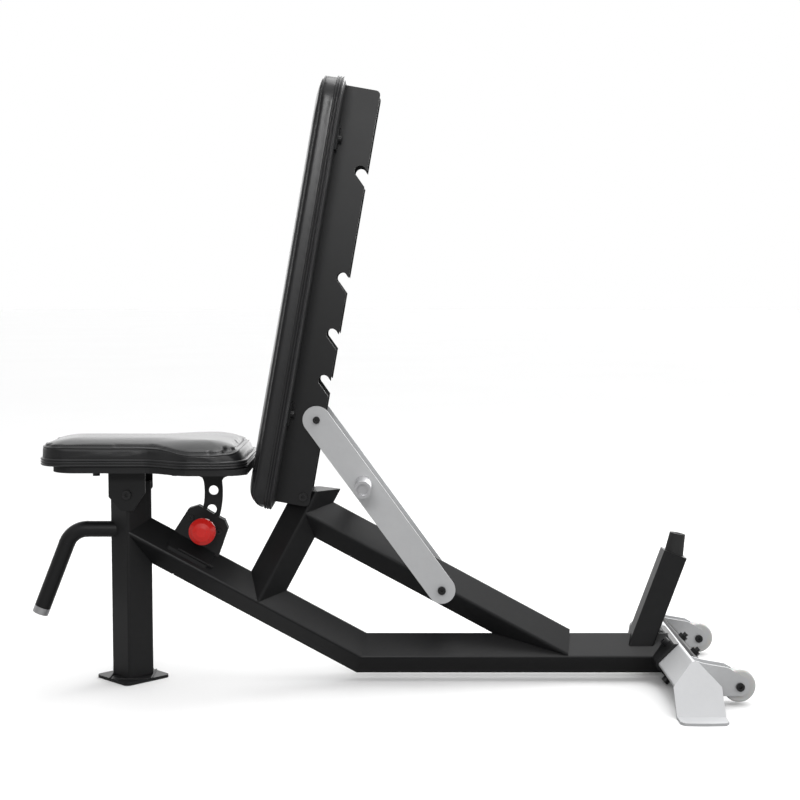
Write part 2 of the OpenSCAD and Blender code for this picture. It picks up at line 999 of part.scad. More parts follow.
module wheel_bush_far() {
    wheel_bush(wheel_y);
}

// ---------------------------------------------------------------- seat

// Seat outline from above: narrow in front, then flared to the rear, pulled in all round
module seat_plan(inset, front_in = 0) {
    half = seat_w_front / 2 - inset;
    wide = seat_w_rear / 2 - inset;
    front = seat_front_x + inset + front_in + seat_corner;
    rear = seat_plan_rear - seat_rear_round;
    polygon(concat(
        round_corner(rear, wide - seat_rear_round, seat_rear_round, 0),
        [for (i = [flare_steps:-1:0]) [flare_x(i), flare_half(i, half, wide)]],
        round_corner(front, half - seat_corner, seat_corner, 90),
        round_corner(front, seat_corner - half, seat_corner, 180),
        [for (i = [0:flare_steps]) [flare_x(i), -flare_half(i, half, wide)]],
        round_corner(rear, seat_rear_round - wide, seat_rear_round, 270)
    ));
}

// Points round a quarter turn
function round_corner(x, y, r, from) =
    [for (k = [0:corner_steps]) [x + r * cos(from + 90 * k / corner_steps),
        y + r * sin(from + 90 * k / corner_steps)]];

// The flare is a smooth step, from the narrow half width to the wide one
function flare_x(i) = flare_from + (flare_to - flare_from) * i / flare_steps;
function flare_half(i, half, wide) =
    half + (wide - half) * pow(i / flare_steps, 2) * (3 - 2 * i / flare_steps);

// Everything that stays clear of the back cushion as the seat tilts
module seat_swing(r) {
    bar_y(seat_pivot_x, seat_pivot_z, -far_out, far_out, r, $fn = 120);
}

module seat_cushion() {
    color("#202123")
    intersection() {
        translate([0, 0, seat_base_z])
            linear_extrude(height = seat_cushion_t)
                seat_plan(0);
        seat_swing(seat_swing_r);
    }
}

module seat_board() {
    color("#17181a")
    intersection() {
        translate([0, 0, seat_under_z])
            linear_extrude(height = seat_board_t)
                seat_plan(board_inset, board_front_in);
        seat_swing(seat_swing_r - 1);
    }
}

// Plate under the board with two ears that hang either side of the front post
module seat_bracket() {
    color("#1b1c1e")
    difference() {
        union() {
            translate([seat_pivot_x + bracket_front, -bracket_half, seat_under_z - seat_plate_t])
                cube([bracket_rear - bracket_front, 2 * bracket_half, seat_plate_t]);
            translate([seat_pivot_x - ear_half, -ladder_y - plate_t, seat_under_z - seat_plate_t])
                cube([2 * ear_half, 2 * (ladder_y + plate_t), seat_plate_t]);
            for (y0 = [-ladder_y - plate_t, ladder_y]) {
                side_plate(y0, plate_t)
                    translate([seat_pivot_x, seat_pivot_z])
                        polygon([
                            [-ear_half, seat_under_z - seat_pivot_z],
                            [ear_half, seat_under_z - seat_pivot_z],
                            [ear_half, 4],
                            [ear_tip, -ear_drop],
                            [-ear_tip, -ear_drop],
                            [-ear_half, -4]
                        ]);
            }
        }
        bar_y(seat_pivot_x, seat_pivot_z, -80, 80, pivot_bolt_r + bolt_clear);
        seat_screw_holes(screw_r + bolt_clear);
    }
}

module seat_screw_holes(r) {
    for (dx = seat_screw_x) {
        for (side = [-1, 1]) {
            translate([seat_pivot_x + dx, side * seat_screw_y, seat_under_z - seat_plate_t - 1])
                cylinder(r = r, h = seat_plate_t + 2);
        }
    }
}

// Welded foot of the strap, running into its curved blade on both sides
module strap_flange() {
    side_plate(-strap_t / 2, strap_t)
        translate([seat_pivot_x + strap_r, seat_under_z - seat_plate_t])
            polygon([
                [-strap_top_w / 2, 0],
                [strap_top_w / 2, 0],
                [strap_top_w / 2, -strap_flange_t],
                [strap_top_w / 2 - strap_fillet, -strap_flange_t - 4],
                [strap_half - 4, -strap_top_h],
                [-strap_half, -strap_top_h],
                [strap_fillet - strap_top_w / 2 - 2, -strap_flange_t - 4],
                [-strap_top_w / 2, -strap_flange_t]
            ]);
}

module strap_blade() {
    side_plate(-strap_t / 2, strap_t)
        translate([seat_pivot_x, seat_pivot_z]) {
            intersection() {
                difference() {
                    circle(strap_r + strap_half, $fn = 96);
                    circle(strap_r - strap_half, $fn = 96);
                }
                rotate(-strap_end_angle) square([far_out, far_out / 2]);
                translate([0, -far_out]) square([far_out, far_out + strap_top_z()]);
            }
            rotate(-strap_end_angle)
                translate([strap_r, 0])
                    intersection() {
                        circle(strap_half);
                        translate([-strap_half, -strap_half])
                            square([2 * strap_half, strap_half + 1]);
                    }
        }
}

// Curved strap with three lock holes, hung from the bracket's plate
module adjuster_strap() {
    color("#1b1c1e")
    difference() {
        union() {
            strap_blade();
            strap_flange();
        }
        for (i = [0:2]) {
            rotate_seat(-pin_angle + i * seat_step)
                translate([strap_r, 20, 0])
                    rotate([90, 0, 0])
                        cylinder(r = strap_hole_r, h = 40);
        }
    }
}

function strap_top_z() = seat_under_z - seat_plate_t - seat_pivot_z - 1;

// Places children about the seat pivot, turned up from level by this angle
module rotate_seat(angle) {
    translate([seat_pivot_x, 0, seat_pivot_z])
        rotate([0, -angle, 0])
            children();
}

module seat_screws() {
    color("#141516")
    for (dx = seat_screw_x) {
        for (side = [-1, 1]) {
            translate([seat_pivot_x + dx, side * seat_screw_y, seat_under_z - seat_plate_t - 6])
                difference() {
                    union() {
                        cylinder(r = 7, h = 6);
                        cylinder(r = screw_r, h = 6 + seat_plate_t);
                    }
                    translate([0, 0, -1]) cylinder(r = 2.5, h = 4, $fn = 6);
                }
        }
    }
}

module seat_pivot_bolt() {
    color("#141516") {
        out = ladder_y + plate_t;
        cross_bolt(seat_pivot_x, seat_pivot_z, -out, out, pivot_bolt_r, head_r + 1, head_h, socket_r);
        hex_nut(seat_pivot_x, seat_pivot_z, out, out + 8, nut_af + 2);
    }
}

// ---------------------------------------------------------------- backrest

// Outline of a pad from the front, with round corners
module back_plan(inset) {
    w = back_w / 2 - inset;
    top = back_bottom + back_length - inset;
    low = back_bottom + inset;
    r = 45;
    hull() {
        for (side = [-1, 1]) {
            translate([side * (w - r), low + r]) circle(r);
            translate([side * (w - r), top - r]) circle(r);
        }
    }
}

module back_cushion() {
    color("#202123")
    on_back()
        intersection() {
            translate([back_front, 0, 0])
                rotate([90, 0, 90])
                    linear_extrude(height = back_cushion_t)
                        back_plan(0);
            side_plate(-back_w, 2 * back_w)
                union() {
                    translate([back_front, back_bottom + back_round])
                        square([back_cushion_t, back_length]);
                    translate([back_front + back_round, back_bottom + back_round])
                        circle(back_round, $fn = 64);
                    translate([back_front + back_round, back_bottom])
                        square([back_cushion_t, back_length]);
                }
        }
}

module back_board() {
    color("#17181a")
    on_back()
        translate([ladder_front - board_t, 0, 0])
            rotate([90, 0, 90])
                linear_extrude(height = board_t)
                    back_plan(board_inset);
}

// Side view of a ladder plate with its five hook notches
module ladder_outline() {
    difference() {
        union() {
            translate([ladder_front, ladder_bottom + ladder_round])
                square([ladder_rear - ladder_front, ladder_top - ladder_bottom - 2 * ladder_round]);
            translate([ladder_front, ladder_bottom])
                square([ladder_rear - ladder_front - ladder_round, ladder_top - ladder_bottom]);
            for (z = [ladder_bottom + ladder_round, ladder_top - ladder_round]) {
                translate([ladder_rear - ladder_round, z]) circle(ladder_round);
            }
        }
        for (angle = notch_angles) {
            translate([0, notch_distance(angle)]) notch();
        }
        circle(pivot_bolt_r + bolt_clear);
    }
}

// Hook notch: a round blind end and a slot that opens rearward and down
module notch() {
    slip = notch_r - rod_r - rod_gap;
    translate([slip / sqrt(2), -slip / sqrt(2)]) {
        circle(notch_r);
        rotate(-45) translate([0, -slot_r]) square([notch_len, 2 * slot_r]);
    }
}

module ladder_near() {
    color("#1b1c1e") on_back() side_plate(-ladder_y - plate_t, plate_t) ladder_outline();
}

module ladder_far() {
    color("#1b1c1e") on_back() side_plate(ladder_y, plate_t) ladder_outline();
}

// Flat tabs from the ladder plates that the board is screwed to
module back_tabs() {
    color("#1b1c1e")
    on_back()
        for (z = tab_rows) {
            for (side = [-1, 1]) {
                difference() {
                    translate([ladder_front, side > 0 ? ladder_y + plate_t : -ladder_y - plate_t
                            - tab_reach, z - tab_h / 2])
                        cube([tab_t, tab_reach, tab_h]);
                    translate([ladder_front - 1, side * (ladder_y + plate_t + tab_reach / 2), z])
                        rotate([0, 90, 0])
                            cylinder(r = screw_r + bolt_clear, h = tab_t + 2);
                }
            }
        }
}

module back_screws() {
    color("#141516")
    on_back()
        for (z = tab_rows) {
            for (side = [-1, 1]) {
                translate([ladder_front, side * (ladder_y + plate_t + tab_reach / 2), z])
                    rotate([0, 90, 0])
                        difference() {
                            union() {
                                cylinder(r = screw_r, h = tab_t + eps);
                                translate([0, 0, tab_t]) cylinder(r = 7, h = 6);
                            }
                            translate([0, 0, tab_t + 3]) cylinder(r = 2.5, h = 4, $fn = 6);
                        }
            }
        }
}

// Cross plate that meets the rubber bumper, and one that ties the ladder's foot
module stop_plate() {
    color("#1b1c1e")
    on_back() {
        translate([ladder_rear - stop_recess - stop_t, -ladder_y, stop_low])
            cube([stop_t, 2 * ladder_y, stop_high - stop_low]);
        translate([ladder_front, -ladder_y, foot_tie_low])
            cube([stop_t, 2 * ladder_y, foot_tie_h]);
    }
}

module back_pivot_bolt() {
    color("#141516") {
        out = ladder_y + plate_t;
        cross_bolt(back_pivot_x, back_pivot_z, -out, out, pivot_bolt_r, head_r, head_h, socket_r);
        hex_nut(back_pivot_x, back_pivot_z, out, out + 8, nut_af + 2);
    }
}

// ---------------------------------------------------------------- support link

module link_outline() {
    difference() {
        union() {
            translate([0, -link_w / 2]) square([link_length, link_w]);
            circle(link_w / 2);
            translate([link_length, 0]) circle(link_w / 2);
        }
        circle(pivot_bolt_r + bolt_clear);
        translate([link_length, 0]) circle(bolt_r);
        translate([grip_at, 0]) circle(grip_core_r);
    }
}

module link_near() {
    color("#b9bcbe") on_link() side_plate(-link_y - link_t, link_t) link_outline();
}

module link_far() {
    color("#b9bcbe") on_link() side_plate(link_y, link_t) link_outline();
}

module catch_rod() {
    color("#2a2b2d")
    on_link()
        difference() {
            bar_y(link_length, 0, -link_y, link_y, rod_r);
            bar_y(link_length, 0, -link_y - 1, link_y + 1, bolt_r);
        }
}

module rod_bolts() {
    color("#141516")
    on_link() {
        out = link_y + link_t;
        cross_bolt(link_length, 0, -out, out, bolt_r, head_r - 1, head_h - 1, socket_r);
        hex_nut(link_length, 0, out, out + 8, nut_af);
    }
}

// Handle across the link: a core between the plates and a round grip outside each
module link_grip() {
    color("#c4c7c9")
    on_link()
        difference() {
            union() {
                out = link_y + link_t;
                bar_y(grip_at, 0, -out, out, grip_core_r);
                bar_y(grip_at, 0, -out - grip_out, -out, grip_r);
                bar_y(grip_at, 0, out, out + grip_out, grip_r);
            }
            bar_y(grip_at, 0, -link_y - link_t - grip_out - 1, -link_y - link_t - grip_out + 8, 11);
            bar_y(grip_at, 0, link_y + link_t + grip_out - 8, link_y + link_t + grip_out + 1, 11);
        }
}

module link_pivot_bolt() {
    color("#141516")
    on_link() {
        out = link_y + link_t;
        cross_bolt(0, 0, -out, out, pivot_bolt_r, head_r, head_h, socket_r);
        hex_nut(0, 0, out, out + 8, nut_af + 2);
    }
}

// ---------------------------------------------------------------- lock pin

// Stepped pin: a thick nose in the plate and a thin stem out through the barrel to the knob
module plunger_pin() {
    color("#8d9093")
    union() {
        bar_y(pin_x, pin_z, -adjuster_out, -strap_t / 2 - pin_nose_gap, pin_r);
        bar_y(pin_x, pin_z, -knob_base_y - knob_bore, -adjuster_out + eps, pin_r - 1);
        bar_y(pin_x, pin_z, -adjuster_out - 5.8, -adjuster_out - 1, barrel_r - barrel_wall - 0.3);
    }
}

// Round knob with a domed face and a short neck
module pin_knob() {
    color("#cf1d1b")
    translate([pin_x, -knob_base_y, pin_z])
        rotate([90, 0, 0])
            difference() {
                union() {
                    cylinder(r = knob_stem_r, h = knob_neck + 2);
                    translate([0, 0, knob_neck]) cylinder(r1 = knob_r - 7, r2 = knob_r, h = knob_step);
                    translate([0, 0, knob_neck + knob_step]) cylinder(r = knob_r, h = knob_step);
                    translate([0, 0, knob_neck + 2 * knob_step])
                        cylinder(r1 = knob_r, r2 = knob_crown_r, h = knob_step);
                    translate([0, 0, knob_neck + 3 * knob_step])
                        cylinder(r1 = knob_crown_r, r2 = 9, h = knob_len - knob_neck - 3 * knob_step);
                }
                translate([0, 0, -1]) cylinder(r = pin_r - 1, h = knob_bore + 1);
            }
}

front_post();
front_base_plate();
front_handle();
handle_end_cap();
lower_slope_tube();
base_rail();
riser_tube();
riser_cap();
upper_slope_tube();
seat_pivot_sleeve();
back_pivot_sleeve();
link_pivot_sleeve();
adjuster_plate_near();
adjuster_plate_far();
adjuster_screws();
pin_barrel();
pin_spring();
bumper_post();
bumper_post_cap();
rubber_bumper();
rear_crossbar();
crossbar_saddle();
wheel_carrier_plate();
crossbar_bolts();
foot_near();
foot_far();
wheel_fork_near();
wheel_fork_far();
axle_bolt_near();
axle_bolt_far();
seat_cushion();
seat_board();
seat_bracket();
adjuster_strap();
seat_screws();
seat_pivot_bolt();
back_cushion();
back_board();
ladder_near();
ladder_far();
back_tabs();
stop_plate();
back_screws();
back_pivot_bolt();
link_near();
link_far();
catch_rod();
rod_bolts();
link_grip();
link_pivot_bolt();
plunger_pin();
pin_knob();
wheel_near();
wheel_far();
wheel_bush_near();
wheel_bush_far();
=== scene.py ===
import math

import bmesh
import bpy
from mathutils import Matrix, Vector
from mathutils.bvhtree import BVHTree
from mathutils.kdtree import KDTree


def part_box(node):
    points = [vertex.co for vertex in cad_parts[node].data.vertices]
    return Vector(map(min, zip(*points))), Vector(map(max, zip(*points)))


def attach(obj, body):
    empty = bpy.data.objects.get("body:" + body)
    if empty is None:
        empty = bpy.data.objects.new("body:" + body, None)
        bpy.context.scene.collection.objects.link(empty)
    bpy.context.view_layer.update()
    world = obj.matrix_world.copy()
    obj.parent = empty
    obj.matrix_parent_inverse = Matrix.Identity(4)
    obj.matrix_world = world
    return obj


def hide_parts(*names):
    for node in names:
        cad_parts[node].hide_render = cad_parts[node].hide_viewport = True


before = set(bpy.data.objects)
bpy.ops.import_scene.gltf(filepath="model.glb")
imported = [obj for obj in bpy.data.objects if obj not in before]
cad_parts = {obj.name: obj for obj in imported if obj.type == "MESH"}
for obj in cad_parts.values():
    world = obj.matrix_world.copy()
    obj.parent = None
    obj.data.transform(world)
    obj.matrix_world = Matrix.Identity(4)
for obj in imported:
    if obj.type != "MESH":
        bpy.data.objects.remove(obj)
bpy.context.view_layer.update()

# Backrest: its pivot, its lean and the layers of the pad, measured from the pivot
BACK_PIVOT = Vector((-0.155, 0.0, 0.371))
BACK_LEAN = math.radians(10)
BACK_BOTTOM = -0.026
BACK_TOP = 0.808
BACK_HALF = 0.140
BACK_CORNER = 0.045
BACK_SEAM = -0.0940
BACK_CROWN = -0.1045
BACK_NOSE = 0.030
BACK_BOARD_FACE = -0.067
BACK_BOARD_REAR = -0.054

# Seat: outline, flare and heights
SEAT_PIVOT_X = -0.501
SEAT_FRONT = -0.664
SEAT_HALF = 0.105
SEAT_WIDE = 0.150
SEAT_CORNER = 0.050
SEAT_REAR_ROUND = 0.052
SEAT_FLARE = (-0.455, -0.365)
SEAT_BASE = 0.436
SEAT_SEAM = 0.4755
SEAT_CROWN = 0.4880
SEAT_SWING_RADIUS = 0.2495

# Pads: how the swelling and the crown are shared out
VOXEL = 0.004
PRESSURE = 4.0
SIDE_SWELL = 0.0008
FACE_SWELL = 0.007
CLOTH_SHARE = 0.12
CROWN_REACH = 0.085
CROWN_POWER = 2.4


# ---------------------------------------------------------------- mesh helpers

def add_mesh(name, verts, faces, smooth=True):
    """A new object from points and faces, with its normals facing out."""
    mesh = bpy.data.meshes.new(name)
    mesh.from_pydata([tuple(v) for v in verts], [], faces)
    bm = bmesh.new()
    bm.from_mesh(mesh)
    bmesh.ops.recalc_face_normals(bm, faces=bm.faces)
    bm.to_mesh(mesh)
    bm.free()
    for polygon in mesh.polygons:
        polygon.use_smooth = smooth
    obj = bpy.data.objects.new(name, mesh)
    bpy.context.scene.collection.objects.link(obj)
    return obj


def apply_modifiers(obj):
    """Bakes the object's modifiers into its mesh."""
    graph = bpy.context.evaluated_depsgraph_get()
    mesh = bpy.data.meshes.new_from_object(obj.evaluated_get(graph))
    obj.modifiers.clear()
    obj.data = mesh
    for polygon in mesh.polygons:
        polygon.use_smooth = True


def round_edges(obj, width, segments=2, angle=32):
    """A small bevel on sharp edges, so that they catch the light."""
    bevel = obj.modifiers.new("edge_round", "BEVEL")
    bevel.width = width
    bevel.segments = segments
    bevel.limit_method = "ANGLE"
    bevel.angle_limit = math.radians(angle)
    bevel.harden_normals = False


def finish_piece(obj, material, body, replaces=()):
    """Gives a piece its material and the body that it rides on."""
    obj.data.materials.clear()
    obj.data.materials.append(material)
    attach(obj, body)
    if replaces:
        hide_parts(*replaces)


def arc_points(cx, cy, radius, start, steps):
    """Points round a quarter turn, from the start angle in degrees."""
    points = []
    for k in range(steps + 1):
        a = math.radians(start + 90 * k / steps)
        points.append((cx + radius * math.cos(a), cy + radius * math.sin(a)))
    return points


def even_loop(points, step):
    """The closed outline again, with points about a step apart and outward normals."""
    ring = [Vector(p) for p in points]
    lengths = [(ring[(i + 1) % len(ring)] - p).length for i, p in enumerate(ring)]
    total = sum(lengths)
    count = int(total / step)
    loop = []
    i = 0
    walked = 0.0
    for k in range(count):
        target = total * k / count
        while walked + lengths[i] < target:
            walked += lengths[i]
            i += 1
        t = (target - walked) / lengths[i]
        loop.append(ring[i].lerp(ring[(i + 1) % len(ring)], t))
    area = sum(a.x * b.y - b.x * a.y for a, b in zip(loop, loop[1:] + loop[:1]))
    turn = 1 if area > 0 else -1
    normals = []
    for k in range(count):
        along = loop[(k + 1) % count] - loop[k - 1]
        normals.append(Vector((along.y, -along.x)).normalized() * turn)
    return loop, normals


def sweep_profile(name, loop, normals, profile, place):
    """Sweeps a closed profile of (outward, upward) points round a closed outline."""
    verts = []
    for point, normal in zip(loop, normals):
        for out, up in profile:
            flat = point + normal * out
            verts.append(place(flat.x, flat.y, up))
    n = len(profile)
    m = len(loop)
    faces = []
    for i in range(m):
        for j in range(n):
            a = i * n + j
            b = i * n + (j + 1) % n
            c = ((i + 1) % m) * n + (j + 1) % n
            d = ((i + 1) % m) * n + j
            faces.append((a, b, c, d))
    return add_mesh(name, verts, faces)


def tube_mesh(name, path, radius, closed=False, sides=10):
    """A round tube along a path of points."""
    count = len(path)
    verts = []
    for i, p in enumerate(path):
        ahead = path[(i + 1) % count] if closed or i + 1 < count else p
        behind = path[i - 1] if closed or i > 0 else p
        along = (ahead - behind).normalized()
        side = along.cross(Vector((0.31, 0.17, 0.93))).normalized()
        up = side.cross(along)
        r = radius(i / count) if callable(radius) else radius
        for k in range(sides):
            a = 2 * math.pi * k / sides
            verts.append(p + side * math.cos(a) * r + up * math.sin(a) * r)
    faces = []
    for i in range(count if closed else count - 1):
        for k in range(sides):
            a = i * sides + k
            b = i * sides + (k + 1) % sides
            c = ((i + 1) % count) * sides + (k + 1) % sides
            d = ((i + 1) % count) * sides + k
            faces.append((a, b, c, d))
    if not closed:
        faces.append(tuple(range(sides)))
        faces.append(tuple((count - 1) * sides + k for k in range(sides)))
    return add_mesh(name, verts, faces)


# ---------------------------------------------------------------- material helpers

def new_group(name, inputs, outputs):
    """An empty shader group with named sockets. Returns the group, its input and its output."""
    group = bpy.data.node_groups.new(name, "ShaderNodeTree")
    for label, kind, value in inputs:
        socket = group.interface.new_socket(label, in_out="INPUT", socket_type=kind)
        socket.default_value = value
    for label, kind in outputs:
        group.interface.new_socket(label, in_out="OUTPUT", socket_type=kind)
    return group, group.nodes.new("NodeGroupInput"), group.nodes.new("NodeGroupOutput")


def math_node(tree, operation, a, b=None, clamp=False):
    node = tree.nodes.new("ShaderNodeMath")
    node.operation = operation
    node.use_clamp = clamp
    for socket, value in zip(node.inputs, (a, b)):
        if value is None:
            continue
        if isinstance(value, (int, float)):
            socket.default_value = value
        else:
            tree.links.new(value, socket)
    return node.outputs[0]


def noise_node(tree, scale, detail=3.0, roughness=0.55, vector=None):
    """Noise in the part's own coordinates, in metres."""
    if vector is None:
        vector = tree.nodes.new("ShaderNodeTexCoord").outputs["Object"]
    node = tree.nodes.new("ShaderNodeTexNoise")
    node.inputs["Detail"].default_value = detail
    node.inputs["Roughness"].default_value = roughness
    if isinstance(scale, (int, float)):
        node.inputs["Scale"].default_value = scale
    else:
        tree.links.new(scale, node.inputs["Scale"])
    tree.links.new(vector, node.inputs["Vector"])
    return node.outputs["Fac"]


def mix_colours(tree, factor, a, b):
    node = tree.nodes.new("ShaderNodeMix")
    node.data_type = "RGBA"
    for socket, value in ((node.inputs[0], factor), (node.inputs[6], a), (node.inputs[7], b)):
        if isinstance(value, (int, float)):
            socket.default_value = value
        elif isinstance(value, tuple):
            socket.default_value = value
        else:
            tree.links.new(value, socket)
    return node.outputs[2]


def ramp_value(tree, value, low, high, out_low, out_high):
    """A value stretched from one range to another, and held at its ends."""
    node = tree.nodes.new("ShaderNodeMapRange")
    node.clamp = True
    tree.links.new(value, node.inputs["Value"])
    for label, number in (
        ("From Min", low), ("From Max", high), ("To Min", out_low), ("To Max", out_high)
    ):
        if isinstance(number, (int, float)):
            node.inputs[label].default_value = number
        else:
            tree.links.new(number, node.inputs[label])
    return node.outputs[0]


def surface_grain_group():
    """Fine grain height with broad patches of handling in it, for paint and plastic."""
    group, source, sink = new_group(
        "surface_grain",
        [("Grain Scale", "NodeSocketFloat", 900.0), ("Patch Scale", "NodeSocketFloat", 7.0)],
        [("Height", "NodeSocketFloat"), ("Patches", "NodeSocketFloat")],
    )
    fine = noise_node(group, source.outputs["Grain Scale"], 2.0, 0.6)
    broad = noise_node(group, source.outputs["Patch Scale"], 4.0, 0.6)
    group.links.new(fine, sink.inputs["Height"])
    group.links.new(broad, sink.inputs["Patches"])
    return group


def edge_wear_group():
    """Mask of rubbed edges: convex edges, broken up by noise."""
    group, source, sink = new_group(
        "edge_wear",
        [("Amount", "NodeSocketFloat", 0.5), ("Break Scale", "NodeSocketFloat", 60.0)],
        [("Mask", "NodeSocketFloat")],
    )
    convex = group.nodes.new("ShaderNodeNewGeometry").outputs["Pointiness"]
    edge = ramp_value(group, convex, 0.53, 0.62, 0.0, 1.0)
    breaks = noise_node(group, source.outputs["Break Scale"], 5.0, 0.7)
    patchy = ramp_value(group, breaks, 0.45, 0.65, 0.0, 1.0)
    mask = math_node(group, "MULTIPLY", edge, patchy)
    amount = math_node(group, "MULTIPLY", mask, source.outputs["Amount"])
    group.links.new(amount, sink.inputs["Mask"])
    return group


def leather_grain_group():
    """Pebbled vinyl: small cells with fine creases between them, and soft stretch marks."""
    group, source, sink = new_group(
        "leather_grain",
        [("Pebble Scale", "NodeSocketFloat", 700.0), ("Crease", "NodeSocketFloat", 0.5)],
        [("Height", "NodeSocketFloat"), ("Shade", "NodeSocketFloat")],
    )
    place = group.nodes.new("ShaderNodeTexCoord").outputs["Object"]
    cells = group.nodes.new("ShaderNodeTexVoronoi")
    cells.feature = "SMOOTH_F1"
    cells.inputs["Smoothness"].default_value = 0.6
    group.links.new(place, cells.inputs["Vector"])
    group.links.new(source.outputs["Pebble Scale"], cells.inputs["Scale"])
    pebble = ramp_value(group, cells.outputs["Distance"], 0.0, 0.7, 1.0, 0.0)
    crease = noise_node(group, 38.0, 5.0, 0.62, place)
    centred = math_node(group, "SUBTRACT", crease, 0.5)
    lines = ramp_value(group, math_node(group, "ABSOLUTE", centred), 0.0, 0.035, 0.0, 1.0)
    depth = math_node(group, "MULTIPLY", lines, source.outputs["Crease"])
    group.links.new(math_node(group, "ADD", pebble, depth), sink.inputs["Height"])
    group.links.new(noise_node(group, 11.0, 4.0, 0.6, place), sink.inputs["Shade"])
    return group


def brushed_group():
    """Fine lines and clouding of a satin silver finish."""
    group, source, sink = new_group(
        "satin_silver",
        [("Grain Scale", "NodeSocketFloat", 1400.0)],
        [("Height", "NodeSocketFloat"), ("Cloud", "NodeSocketFloat")],
    )
    fine = noise_node(group, source.outputs["Grain Scale"], 2.0, 0.5)
    group.links.new(fine, sink.inputs["Height"])
    group.links.new(noise_node(group, 16.0, 5.0, 0.6), sink.inputs["Cloud"])
    return group


GRAIN = surface_grain_group()
WEAR = edge_wear_group()
LEATHER = leather_grain_group()
SATIN = brushed_group()


def place_group(tree, group, **values):
    node = tree.nodes.new("ShaderNodeGroup")
    node.node_tree = group
    for label, value in values.items():
        node.inputs[label.replace("_", " ")].default_value = value
    return node


def new_material(name, colour, roughness, metallic=0.0, coat=0.0, specular=0.5, coat_rough=0.2):
    """A material with a Principled shader and its constants set on the shader itself."""
    material = bpy.data.materials.new(name)
    material.use_nodes = True
    material.diffuse_color = (*colour, 1.0)
    tree = material.node_tree
    shader = tree.nodes["Principled BSDF"]
    shader.inputs["Base Color"].default_value = (*colour, 1.0)
    shader.inputs["Roughness"].default_value = roughness
    shader.inputs["Metallic"].default_value = metallic
    shader.inputs["Coat Weight"].default_value = coat
    shader.inputs["Coat Roughness"].default_value = coat_rough
    shader.inputs["Specular IOR Level"].default_value = specular
    return material, tree, shader


def add_bump(tree, shader, height, distance, strength=1.0):
    bump = tree.nodes.new("ShaderNodeBump")
    bump.inputs["Distance"].default_value = distance
    bump.inputs["Strength"].default_value = strength
    tree.links.new(height, bump.inputs["Height"])
    tree.links.new(bump.outputs["Normal"], shader.inputs["Normal"])


def painted_steel(name, dark, light, worn, roughness, wear, grain_scale, bump, specular):
    """Powder coat: fine orange peel, faint patches and rubbed edges."""
    material, tree, shader = new_material(name, dark, roughness[0], specular=specular)
    grain = place_group(tree, GRAIN, Grain_Scale=grain_scale, Patch_Scale=6.0)
    rubbed = place_group(tree, WEAR, Amount=wear, Break_Scale=70.0)
    patches = ramp_value(tree, grain.outputs["Patches"], 0.35, 0.65, 0.0, 1.0)
    paint = mix_colours(tree, patches, (*dark, 1.0), (*light, 1.0))
    colour = mix_colours(tree, rubbed.outputs["Mask"], paint, (*worn, 1.0))
    tree.links.new(colour, shader.inputs["Base Color"])
    rough = ramp_value(tree, grain.outputs["Patches"], 0.3, 0.7, roughness[0], roughness[1])
    tree.links.new(rough, shader.inputs["Roughness"])
    add_bump(tree, shader, grain.outputs["Height"], bump)
    return material


def silver_steel(name, low, high, roughness, metallic):
    """Satin silver paint with a faint sparkle of grain and clouding."""
    material, tree, shader = new_material(name, low, roughness[0], metallic=metallic)
    satin = place_group(tree, SATIN, Grain_Scale=1300.0)
    rubbed = place_group(tree, WEAR, Amount=0.05, Break_Scale=90.0)
    cloud = ramp_value(tree, satin.outputs["Cloud"], 0.3, 0.7, 0.0, 1.0)
    paint = mix_colours(tree, cloud, (*low, 1.0), (*high, 1.0))
    colour = mix_colours(tree, rubbed.outputs["Mask"], paint, (0.30, 0.30, 0.31, 1.0))
    tree.links.new(colour, shader.inputs["Base Color"])
    rough = ramp_value(tree, satin.outputs["Cloud"], 0.3, 0.7, roughness[0], roughness[1])
    tree.links.new(rough, shader.inputs["Roughness"])
    add_bump(tree, shader, satin.outputs["Height"], 0.00005)
    return material


def vinyl(name, dark, light, roughness, crease):
    """Black upholstery vinyl with pebble grain and soft stretch shading."""
    material, tree, shader = new_material(name, dark, roughness[0], coat=0.45, coat_rough=0.26, specular=0.35)
    grain = place_group(tree, LEATHER, Pebble_Scale=620.0, Crease=crease)
    shade = ramp_value(tree, grain.outputs["Shade"], 0.3, 0.7, 0.0, 1.0)
    tree.links.new(mix_colours(tree, shade, (*dark, 1.0), (*light, 1.0)), shader.inputs["Base Color"])
    rough = ramp_value(tree, grain.outputs["Shade"], 0.3, 0.7, roughness[0], roughness[1])
    tree.links.new(rough, shader.inputs["Roughness"])
    add_bump(tree, shader, grain.outputs["Height"], 0.00012)
    return material


def moulded(name, low, high, roughness, grain_scale, bump, coat=0.0, subsurface=0.0):
    """Moulded plastic or rubber with faint mottling."""
    material, tree, shader = new_material(name, low, roughness[0], coat=coat, coat_rough=0.12)
    shader.inputs["Subsurface Weight"].default_value = subsurface
    shader.inputs["Subsurface Scale"].default_value = 0.004
    grain = place_group(tree, GRAIN, Grain_Scale=grain_scale, Patch_Scale=22.0)
    patches = ramp_value(tree, grain.outputs["Patches"], 0.3, 0.7, 0.0, 1.0)
    tree.links.new(mix_colours(tree, patches, (*low, 1.0), (*high, 1.0)), shader.inputs["Base Color"])
    rough = ramp_value(tree, grain.outputs["Patches"], 0.3, 0.7, roughness[0], roughness[1])
    tree.links.new(rough, shader.inputs["Roughness"])
    add_bump(tree, shader, grain.outputs["Height"], bump)
    return material


